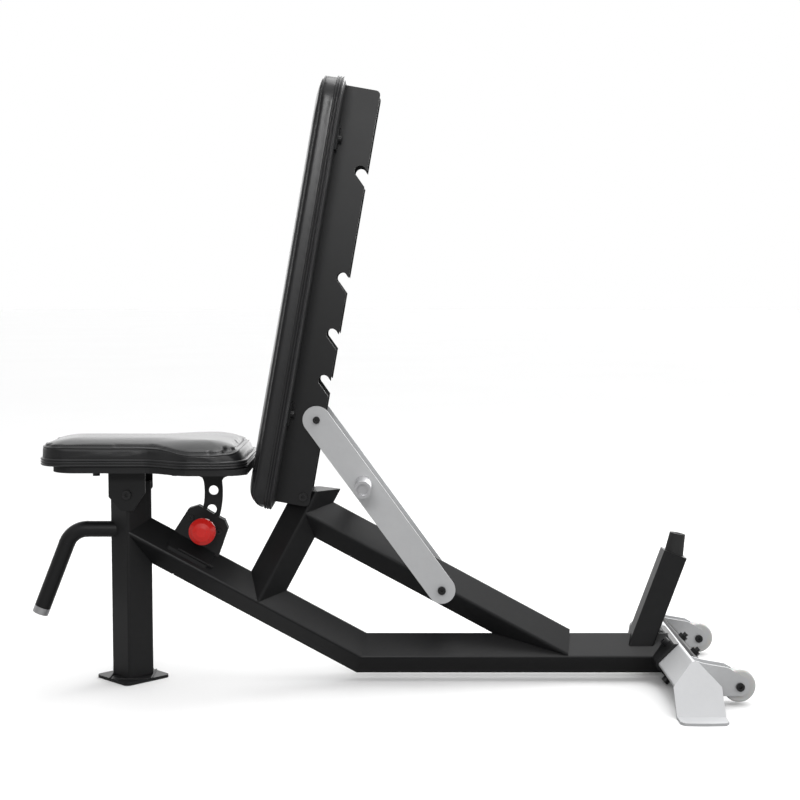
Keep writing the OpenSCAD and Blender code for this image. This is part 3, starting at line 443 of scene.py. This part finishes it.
BLACK_STEEL = painted_steel("black_powder_coat", (0.0060, 0.0061, 0.0067), (0.0068, 0.0069, 0.0075),
                            (0.020, 0.020, 0.021), (0.40, 0.43), 0.1, 1100.0, 0.00005, 0.38)
BLACK_BOLT = painted_steel("blackened_bolt", (0.007, 0.007, 0.0075), (0.010, 0.010, 0.011),
                           (0.05, 0.049, 0.048), (0.30, 0.36), 0.2, 1800.0, 0.00003, 0.45)
SILVER_STEEL = silver_steel("silver_paint", (0.56, 0.565, 0.575), (0.58, 0.585, 0.59), (0.38, 0.42), 0.2)
FOOT_STEEL = silver_steel("pale_silver_paint", (0.54, 0.545, 0.555), (0.555, 0.56, 0.57), (0.38, 0.42), 0.15)
BRIGHT_STEEL = silver_steel("bright_steel", (0.80, 0.80, 0.81), (0.83, 0.83, 0.84), (0.26, 0.30), 0.1)
BLACK_VINYL = vinyl("black_vinyl", (0.0080, 0.0080, 0.0088), (0.0095, 0.0095, 0.0105), (0.34, 0.38), 0.2)
TRIM_VINYL = vinyl("trim_vinyl", (0.009, 0.009, 0.010), (0.013, 0.013, 0.014), (0.32, 0.38), 0.15)
BOARD_COVER = moulded("board_cover", (0.005, 0.005, 0.006), (0.008, 0.008, 0.009), (0.6, 0.7), 500.0, 0.0001)
THREAD = moulded("stitch_thread", (0.012, 0.012, 0.013), (0.020, 0.020, 0.021), (0.55, 0.7), 2500.0, 0.00005)
BLACK_RUBBER = moulded("black_rubber", (0.012, 0.012, 0.014), (0.016, 0.016, 0.018), (0.50, 0.6), 900.0, 0.00006)
RED_PLASTIC = moulded("red_plastic", (0.94, 0.018, 0.010), (0.97, 0.022, 0.012), (0.30, 0.36), 700.0, 0.00003, 0.1)
WHEEL_PLASTIC = moulded("milky_plastic", (0.54, 0.54, 0.53), (0.57, 0.57, 0.56), (0.38, 0.46), 800.0, 0.00004, 0.0, 0.2)


# ---------------------------------------------------------------- pads

def back_place(x, y, up):
    """Pad coordinates to the bench: x across, y up the back, up away from the board's rear."""
    along = Vector((math.sin(BACK_LEAN), 0.0, math.cos(BACK_LEAN)))
    rear = Vector((math.cos(BACK_LEAN), 0.0, -math.sin(BACK_LEAN)))
    return BACK_PIVOT + along * y + rear * (BACK_BOARD_REAR - up) + Vector((0.0, x, 0.0))


def seat_place(x, y, up):
    """Seat coordinates to the bench: x along, y across, up from the cushion's base."""
    return Vector((x, y, SEAT_BASE + up))


def back_outline(inset):
    """The back pad's outline as (across, up the back)."""
    w = BACK_HALF - inset
    top = BACK_TOP - inset
    low = BACK_BOTTOM + inset
    r = BACK_CORNER - inset * 0.5
    points = arc_points(w - r, top - r, r, 0, 12)
    points += arc_points(r - w, top - r, r, 90, 12)
    points += arc_points(r - w, low + r, r, 180, 12)
    points += arc_points(w - r, low + r, r, 270, 12)
    return points


def seat_rear_at(z):
    """How far back the seat reaches at a height, so that it swings clear of the back pad."""
    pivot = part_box("seat_pivot_bolt")
    height = z - (pivot[0][2] + pivot[1][2]) / 2
    return SEAT_PIVOT_X + math.sqrt(SEAT_SWING_RADIUS ** 2 - height ** 2)


def seat_outline(inset, z):
    """The seat's outline as (along, across) at a height."""
    half = SEAT_HALF - inset
    wide = SEAT_WIDE - inset
    front = SEAT_FRONT + inset + SEAT_CORNER
    rear = seat_rear_at(z) - inset - SEAT_REAR_ROUND
    points = arc_points(rear, wide - SEAT_REAR_ROUND, SEAT_REAR_ROUND, 0, 12)
    flare = []
    for i in range(13):
        t = i / 12
        x = SEAT_FLARE[0] + (SEAT_FLARE[1] - SEAT_FLARE[0]) * t
        flare.append((x, half + (wide - half) * t * t * (3 - 2 * t)))
    points += flare[::-1]
    points += arc_points(front, half - SEAT_CORNER, SEAT_CORNER, 90, 12)
    points += arc_points(front, SEAT_CORNER - half, SEAT_CORNER, 180, 12)
    points += [(x, -y) for x, y in flare]
    points += arc_points(rear, SEAT_REAR_ROUND - wide, SEAT_REAR_ROUND, 270, 12)
    return points


def pad_blank(name, rings, place):
    """A closed pad from stacked outlines [(points, height)], capped with a flat grid fan."""
    loops = []
    for points, height in rings:
        loop, _ = even_loop(points, 0.006)
        loops.append((loop, height))
    count = min(len(loop) for loop, _ in loops)
    verts = []
    for points, height in rings:
        ring = [Vector(p) for p in points]
        total = sum((ring[(i + 1) % len(ring)] - p).length for i, p in enumerate(ring))
        loop, _ = even_loop(points, total / (count + 0.5))
        for p in loop[:count]:
            verts.append(place(p.x, p.y, height))
    faces = []
    for k in range(len(rings) - 1):
        for i in range(count):
            a = k * count + i
            b = k * count + (i + 1) % count
            faces.append((a, b, b + count, a + count))
    faces.append(tuple(range(count)))
    faces.append(tuple((len(rings) - 1) * count + i for i in range(count)))
    return add_mesh(name, verts, faces)


def swell_pad(obj, voxel, pressure, limit, held):
    """Remeshes a pad and lets air pressure swell it as cloth, no further than each point's limit."""
    remesh = obj.modifiers.new("even_mesh", "REMESH")
    remesh.mode = "VOXEL"
    remesh.voxel_size = voxel
    apply_modifiers(obj)
    start = [v.co.copy() for v in obj.data.vertices]
    pins = obj.vertex_groups.new(name="held")
    pins.add([i for i, co in enumerate(start) if held(co)], 1.0, "REPLACE")
    cloth = obj.modifiers.new("swell", "CLOTH")
    settings = cloth.settings
    settings.quality = 4
    settings.mass = 0.3
    settings.vertex_group_mass = "held"
    settings.pin_stiffness = 1.0
    settings.use_pressure = True
    settings.uniform_pressure_force = pressure
    settings.tension_stiffness = 22
    settings.compression_stiffness = 22
    settings.shear_stiffness = 12
    settings.bending_stiffness = 1.2
    settings.effector_weights.gravity = 0
    cloth.collision_settings.use_collision = False
    scene = bpy.context.scene
    for number in range(1, 21):
        scene.frame_set(number)
    apply_modifiers(obj)
    scene.frame_set(1)
    obj.vertex_groups.clear()
    for vertex, was in zip(obj.data.vertices, start):
        step = vertex.co - was
        most = limit(was)
        if step.length > most:
            vertex.co = was + step * (most / step.length)
    smooth = obj.modifiers.new("even_skin", "SMOOTH")
    smooth.factor = 0.5
    smooth.iterations = 3
    apply_modifiers(obj)


def ease(low, high, value):
    """0 below low, 1 above high and a soft step between."""
    t = min(max((value - low) / (high - low), 0.0), 1.0)
    return t * t * (3 - 2 * t)


def surface_of(obj):
    bm = bmesh.new()
    bm.from_mesh(obj.data)
    tree = BVHTree.FromBMesh(bm)
    bm.free()
    return tree


def lay_on(tree, points, lift):
    """The points moved onto a pad's skin, and lifted off it a little."""
    laid = []
    for p in points:
        spot, normal, _, _ = tree.find_nearest(p)
        laid.append(spot + normal * lift)
    return laid


def stitch_row(name, path, tree, length, gap, radius, lift):
    """Short stitches end to end along a seam."""
    total = 0.0
    marks = [0.0]
    for a, b in zip(path, path[1:] + path[:1]):
        total += (b - a).length
        marks.append(total)
    count = int(total / (length + gap))
    verts = []
    faces = []

    def spot(distance):
        distance %= total
        low, high = 0, len(path)
        while high - low > 1:
            middle = (low + high) // 2
            if marks[middle] <= distance:
                low = middle
            else:
                high = middle
        share = (distance - marks[low]) / (marks[low + 1] - marks[low])
        return path[low].lerp(path[(low + 1) % len(path)], share)

    for k in range(count):
        begin = spot(k * total / count)
        end = spot(k * total / count + length)
        middle, normal, _, _ = tree.find_nearest((begin + end) / 2)
        along = (end - begin).normalized()
        side = along.cross(normal).normalized()
        base = len(verts)
        stations = ((-0.5, 0.35, -0.4), (-0.3, 1.0, 0.6), (0.3, 1.0, 0.6), (0.5, 0.35, -0.4))
        for share, thick, height in stations:
            centre = middle + along * share * length + normal * (lift + height * radius)
            for i in range(6):
                a = math.pi * i / 3
                verts.append(centre + (side * math.cos(a) + normal * math.sin(a)) * radius * thick)
        for j in range(3):
            for i in range(6):
                a = base + j * 6 + i
                b = base + j * 6 + (i + 1) % 6
                faces.append((a, b, b + 6, a + 6))
        faces.append(tuple(base + i for i in range(6)))
        faces.append(tuple(base + 18 + i for i in range(6)))
    return add_mesh(name, verts, faces)


def ridge_profile(low, high, out, ridges, depth):
    """Edge trim in section: a strip with rounded ridges along its outer face."""
    points = [(-0.006, low), (out - depth, low)]
    pitch = (high - low) / ridges
    for k in range(ridges):
        for share, rise in ((0.12, 0.35), (0.3, 0.85), (0.5, 1.0), (0.7, 0.85), (0.88, 0.35)):
            points.append((out - depth + depth * rise, low + pitch * (k + share)))
        if k + 1 < ridges:
            points.append((out - depth, low + pitch * (k + 1)))
    points += [(out - depth, high), (-0.006, high)]
    return points


def edge_distance(points):
    """A function that gives the distance from a flat point to the outline."""
    loop, _ = even_loop(points, 0.003)
    tree = KDTree(len(loop))
    for i, p in enumerate(loop):
        tree.insert((p.x, p.y, 0.0), i)
    tree.balance()
    return lambda x, y: tree.find((x, y, 0.0))[2]


def crown_share(distance):
    """How full a pad is at a distance in from its edge, from 0 to 1."""
    t = min(distance / CROWN_REACH, 1.0)
    return 1 - (1 - t) ** CROWN_POWER


def seat_fall(co):
    """How far the seat's skin drops at a point: the wide rear shoulders and the tail fall away."""
    shoulder = max(abs(co.y) - 0.080, 0.0) / 0.070
    drop = 0.0105 * ease(-0.47, -0.37, co.x) * shoulder ** 1.5
    drop += 0.004 * ease(-0.320, -0.255, co.x)
    return Vector((0.0, 0.0, -drop * ease(SEAT_SEAM - 0.022, SEAT_SEAM, co.z)))


def make_seat_pad():
    """Seat cushion: crisp boxed sides, a crowned top whose wide rear shoulders fall away."""
    rings = [(seat_outline(0.010, 0.438), 0.002)]
    for inset, z in (
        (0.0018, 0.4400), (0.0016, 0.4500), (0.0016, 0.4590), (0.0016, 0.4680), (0.0020, 0.4735),
        (0.0045, SEAT_SEAM), (0.0120, 0.4785), (0.0260, 0.4815),
    ):
        rings.append((seat_outline(inset, z), z - SEAT_BASE))
    pad = pad_blank("seat_pad", rings, seat_place)
    swell_pad(pad, VOXEL, PRESSURE,
              lambda co: SIDE_SWELL + FACE_SWELL * ease(SEAT_SEAM - 0.003, SEAT_SEAM + 0.004, co.z),
              lambda co: co.z < 0.4525)
    top = max(v.co.z for v in pad.data.vertices)
    inward = edge_distance(seat_outline(0.0, SEAT_SEAM))
    for vertex in pad.data.vertices:
        if vertex.co.z > SEAT_SEAM:
            swollen = (vertex.co.z - SEAT_SEAM) / (top - SEAT_SEAM)
            full = crown_share(inward(vertex.co.x, vertex.co.y))
            share = CLOTH_SHARE * swollen + (1 - CLOTH_SHARE) * full
            vertex.co.z = SEAT_SEAM + (SEAT_CROWN - SEAT_SEAM) * share
        vertex.co += seat_fall(vertex.co)
    finer = pad.modifiers.new("fine_skin", "SUBSURF")
    finer.levels = 1
    finer.render_levels = 1
    apply_modifiers(pad)
    finish_piece(pad, BLACK_VINYL, "seat", ("seat_cushion",))
    return pad


BACK_UP = Vector((math.sin(BACK_LEAN), 0.0, math.cos(BACK_LEAN)))
BACK_REARWARD = Vector((math.cos(BACK_LEAN), 0.0, -math.sin(BACK_LEAN)))


def back_depth(co):
    return (co - BACK_PIVOT).dot(BACK_REARWARD)


def back_nose(co):
    """The move that rounds off the front of the back pad's lower end."""
    depth = back_depth(co)
    below = BACK_BOTTOM + BACK_NOSE - (co - BACK_PIVOT).dot(BACK_UP)
    hinge = BACK_BOARD_FACE - 0.001
    if below <= 0.0 or depth >= hinge:
        return Vector((0.0, 0.0, 0.0))
    share = min(below / BACK_NOSE, 1.0)
    front = BACK_SEAM + BACK_NOSE * (1 - math.sqrt(1 - share * share))
    reach = max((hinge - front) / (hinge - BACK_SEAM), 0.06)
    return BACK_REARWARD * ((hinge - depth) * (1 - reach))


def make_back_pad():
    """Back cushion: long crisp boxed pad with a crowned front and a rounded lower nose."""
    seam = BACK_BOARD_REAR - BACK_SEAM
    rings = [(back_outline(0.010), 0.004)]
    for inset, up in (
        (0.0014, 0.006), (0.0012, 0.015), (0.0012, 0.023), (0.0012, 0.031), (0.0018, seam - 0.002),
        (0.0045, seam), (0.0120, seam + 0.0025), (0.0300, seam + 0.005),
    ):
        rings.append((back_outline(inset), up))
    pad = pad_blank("back_pad", rings, back_place)
    swell_pad(pad, VOXEL, PRESSURE,
              lambda co: SIDE_SWELL + FACE_SWELL * ease(
                  0.003 - BACK_SEAM, 0.007 - BACK_SEAM, 0.006 - back_depth(co)),
              lambda co: back_depth(co) > BACK_BOARD_FACE - 0.002)
    front = min(back_depth(v.co) for v in pad.data.vertices)
    inward = edge_distance(back_outline(0.0))
    for vertex in pad.data.vertices:
        at = back_depth(vertex.co)
        if at < BACK_SEAM:
            swollen = (at - BACK_SEAM) / (front - BACK_SEAM)
            full = crown_share(inward(vertex.co.y, (vertex.co - BACK_PIVOT).dot(BACK_UP)))
            share = CLOTH_SHARE * swollen + (1 - CLOTH_SHARE) * full
            wanted = BACK_SEAM + (BACK_CROWN - BACK_SEAM) * share
            vertex.co += BACK_REARWARD * (wanted - at)
        vertex.co += back_nose(vertex.co)
    finer = pad.modifiers.new("fine_skin", "SUBSURF")
    finer.levels = 1
    finer.render_levels = 1
    apply_modifiers(pad)
    finish_piece(pad, BLACK_VINYL, "backrest", ("back_cushion",))
    return pad


def dress_pad(name, pad, outline, place, move, body, seam_up, trim_low, trim_high):
    """Piping on the edge seam, a stitch row beside it and the ridged trim round the board."""
    skin = surface_of(pad)
    loop, normals = even_loop(outline(seam_up), 0.006)
    path = [place(p.x - n.x * 0.001, p.y - n.y * 0.001, seam_up) for p, n in zip(loop, normals)]
    path = [p + move(p) for p in path]
    piping = tube_mesh(name + "_piping", lay_on(skin, path, 0.0003), 0.0014, True, 10)
    finish_piece(piping, TRIM_VINYL, body, ())
    row = [
        place(p.x - n.x * 0.009, p.y - n.y * 0.009, seam_up + 0.003)
        for p, n in zip(loop, normals)
    ]
    row = [p + move(p) for p in row]
    stitches = stitch_row(
        name + "_stitches", lay_on(skin, row, 0.0), skin, 0.0036, 0.0014, 0.00045, 0.0)
    finish_piece(stitches, THREAD, body, ())
    loop, normals = even_loop(outline(trim_low), 0.005)
    profile = ridge_profile(trim_low, trim_high, 0.0018, 3, 0.0020)
    trim = sweep_profile(name + "_edge_trim", loop, normals, profile, place)
    finish_piece(trim, TRIM_VINYL, body, ())


# ---------------------------------------------------------------- hard parts

CAD_FINISH = {
    "black_powder_coat": (
        "front_post", "front_base_plate", "front_handle", "lower_slope_tube", "base_rail",
        "riser_tube", "riser_cap", "upper_slope_tube", "seat_pivot_sleeve", "back_pivot_sleeve",
        "link_pivot_sleeve", "adjuster_plate_near", "adjuster_plate_far", "bumper_post",
        "bumper_post_cap", "crossbar_saddle", "wheel_carrier_plate", "seat_bracket",
        "adjuster_strap", "ladder_near", "ladder_far", "back_tabs", "stop_plate",
    ),
    "blackened_bolt": (
        "adjuster_screws", "pin_barrel", "crossbar_bolts", "axle_bolt_near", "axle_bolt_far",
        "seat_screws", "seat_pivot_bolt", "back_screws", "back_pivot_bolt", "catch_rod",
        "rod_bolts", "link_pivot_bolt",
    ),
    "silver_paint": ("rear_crossbar", "wheel_fork_near", "wheel_fork_far", "link_near", "link_far"),
    "pale_silver_paint": ("foot_near", "foot_far"),
    "bright_steel": ("handle_end_cap", "link_grip", "plunger_pin", "pin_spring",
                     "wheel_bush_near", "wheel_bush_far"),
    "board_cover": ("seat_board", "back_board"),
    "black_rubber": ("rubber_bumper",),
    "red_plastic": ("pin_knob",),
    "milky_plastic": ("wheel_near", "wheel_far"),
}

EDGE_ROUND = {
    "black_powder_coat": 0.0009,
    "blackened_bolt": 0.0005,
    "silver_paint": 0.0009,
    "pale_silver_paint": 0.0010,
    "bright_steel": 0.0006,
    "board_cover": 0.0015,
    "black_rubber": 0.0010,
    "red_plastic": 0.0010,
    "milky_plastic": 0.0008,
}


def finish_cad_nodes():
    """Every hard node keeps its shape and gets its finish and small rounded edges."""
    for finish, nodes in CAD_FINISH.items():
        material = bpy.data.materials[finish]
        for node in nodes:
            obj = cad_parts[node]
            obj.data.materials.clear()
            obj.data.materials.append(material)
            round_edges(obj, EDGE_ROUND[finish])


def weld_bead(name, start, end, radius, body):
    """A row of small weld ripples along a joint."""
    start, end = Vector(start), Vector(end)
    length = (end - start).length
    steps = int(length / 0.0006)
    path = [start.lerp(end, i / steps) for i in range(steps + 1)]
    bead = tube_mesh(name, path, lambda t: radius * (0.82 + 0.18 * abs(math.sin(math.pi * t * length / 0.0032))))
    finish_piece(bead, BLACK_STEEL, body, ())


SLOPE = math.radians(28.5)
PLATE_WELD_LENGTH = 0.078
PLATE_WELD_RADIUS = 0.0022
BASE_WELD_RADIUS = 0.0022
BASE_WELD_INSET = 0.006


def make_welds():
    """Weld beads where the adjuster plates' feet and the post's base meet the frame."""
    edge = Vector((math.cos(SLOPE), 0.0, -math.sin(SLOPE)))
    for node, side in (("adjuster_plate_near", -1), ("adjuster_plate_far", 1)):
        low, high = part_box(node)
        y = low[1] + 0.0003 if side < 0 else high[1] - 0.0003
        end = Vector((high[0] - 0.028, y, low[2] + 0.0025))
        weld_bead("weld_" + node, end - edge * PLATE_WELD_LENGTH, end, PLATE_WELD_RADIUS, "frame")
    low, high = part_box("front_post")
    plate_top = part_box("front_base_plate")[1][2]
    for y, name in ((low[1], "near"), (high[1], "far")):
        start = (low[0] + BASE_WELD_INSET, y, plate_top)
        end = (high[0] - BASE_WELD_INSET, y, plate_top)
        weld_bead("weld_base_" + name, start, end, BASE_WELD_RADIUS, "frame")
    for x, name in ((low[0], "front"), (high[0], "rear")):
        start = (x, low[1] + BASE_WELD_INSET, plate_top)
        end = (x, high[1] - BASE_WELD_INSET, plate_top)
        weld_bead("weld_base_" + name, start, end, BASE_WELD_RADIUS, "frame")


# ---------------------------------------------------------------- light and camera

def area_light(name, place, target, size, power, colour=(1.0, 1.0, 1.0)):
    data = bpy.data.lights.new(name, "AREA")
    data.shape = "RECTANGLE"
    data.size = size[0]
    data.size_y = size[1]
    data.energy = power
    data.color = colour
    lamp = bpy.data.objects.new(name, data)
    lamp.location = place
    aim = Vector(target) - Vector(place)
    lamp.rotation_euler = aim.to_track_quat("-Z", "Y").to_euler()
    bpy.context.scene.collection.objects.link(lamp)
    return lamp


def make_sky():
    """White backdrop, with light that is dim before the bench and bright behind and above."""
    world = bpy.data.worlds.new("studio")
    world.use_nodes = True
    tree = world.node_tree
    light = tree.nodes["Background"]
    place = tree.nodes.new("ShaderNodeTexCoord").outputs["Generated"]
    split = tree.nodes.new("ShaderNodeSeparateXYZ")
    tree.links.new(place, split.inputs[0])
    around = ramp_value(tree, split.outputs["Y"], -0.9, 0.9, 0.07, 2.7)
    overhead = ramp_value(tree, split.outputs["Z"], 0.05, 0.60, 0.0, 1.0)
    level = math_node(tree, "MULTIPLY", around, math_node(tree, "SUBTRACT", 1.0, overhead))
    level = math_node(tree, "ADD", level, math_node(tree, "MULTIPLY", overhead, 1.25))
    handle_end = ramp_value(tree, split.outputs["X"], -0.9, 0.3, 0.35, 1.0)
    level = math_node(tree, "MULTIPLY", level, handle_end)
    tree.links.new(level, light.inputs["Strength"])
    backdrop = tree.nodes.new("ShaderNodeBackground")
    seen = tree.nodes.new("ShaderNodeLightPath").outputs["Is Camera Ray"]
    mix = tree.nodes.new("ShaderNodeMixShader")
    tree.links.new(seen, mix.inputs[0])
    tree.links.new(light.outputs[0], mix.inputs[1])
    tree.links.new(backdrop.outputs[0], mix.inputs[2])
    tree.links.new(mix.outputs[0], tree.nodes["World Output"].inputs["Surface"])
    for node in (light, backdrop):
        node.inputs["Color"].default_value = (1.0, 1.0, 1.0, 1.0)
    bpy.context.scene.world = world


def make_stage():
    """Pale floor and soft studio lamps."""
    ring = []
    for k in range(96):
        a = 2 * math.pi * k / 96
        ring.append((60.0 * math.cos(a), 60.0 * math.sin(a), 0.0))
    floor = add_mesh("studio_floor", ring, [tuple(range(96))], False)
    material, tree, shader = new_material("pale_floor", (0.93, 0.93, 0.93), 0.7, specular=0.1)
    grain = place_group(tree, GRAIN, Grain_Scale=60.0, Patch_Scale=0.6)
    shade = ramp_value(tree, grain.outputs["Patches"], 0.3, 0.7, 0.0, 1.0)
    pale = mix_colours(tree, shade, (0.95, 0.95, 0.95, 1.0), (0.97, 0.97, 0.97, 1.0))
    seen = tree.nodes.new("ShaderNodeLightPath").outputs["Is Camera Ray"]
    tree.links.new(mix_colours(tree, seen, (0.33, 0.33, 0.33, 1.0), pale), shader.inputs["Base Color"])
    floor.data.materials.append(material)
    area_light("key_lamp", (-0.25, -3.2, 1.60), (0.0, 0.0, 0.9), (0.9, 0.42), 24)
    area_light("top_lamp", (0.45, 0.3, 3.2), (0.0, 0.0, 0.3), (2.6, 1.6), 40)
    area_light("rear_lamp", (1.4, 2.4, 1.9), (0.0, 0.0, 0.5), (1.4, 1.4), 20)


def make_camera():
    data = bpy.data.cameras.new("front_camera")
    data.lens = 67.5
    data.sensor_width = 36.0
    data.clip_end = 200.0
    camera = bpy.data.objects.new("front_camera", data)
    camera.location = (0.035, -2.968, 0.775)
    camera.rotation_euler = (math.radians(90 - 4.176), 0.0, 0.0)
    bpy.context.scene.collection.objects.link(camera)
    bpy.context.scene.camera = camera


bpy.context.scene.view_settings.view_transform = "Standard"
make_camera()
make_sky()
make_stage()
finish_cad_nodes()
make_welds()
seat_pad = make_seat_pad()
dress_pad("seat", seat_pad, lambda up: seat_outline(0.0, SEAT_BASE + up), seat_place, seat_fall, "seat",
          SEAT_SEAM - SEAT_BASE, 0.001, 0.016)
back_pad = make_back_pad()
dress_pad("back", back_pad, lambda up: back_outline(0.0), back_place, back_nose, "backrest",
          BACK_BOARD_REAR - BACK_SEAM, 0.000, 0.0145)
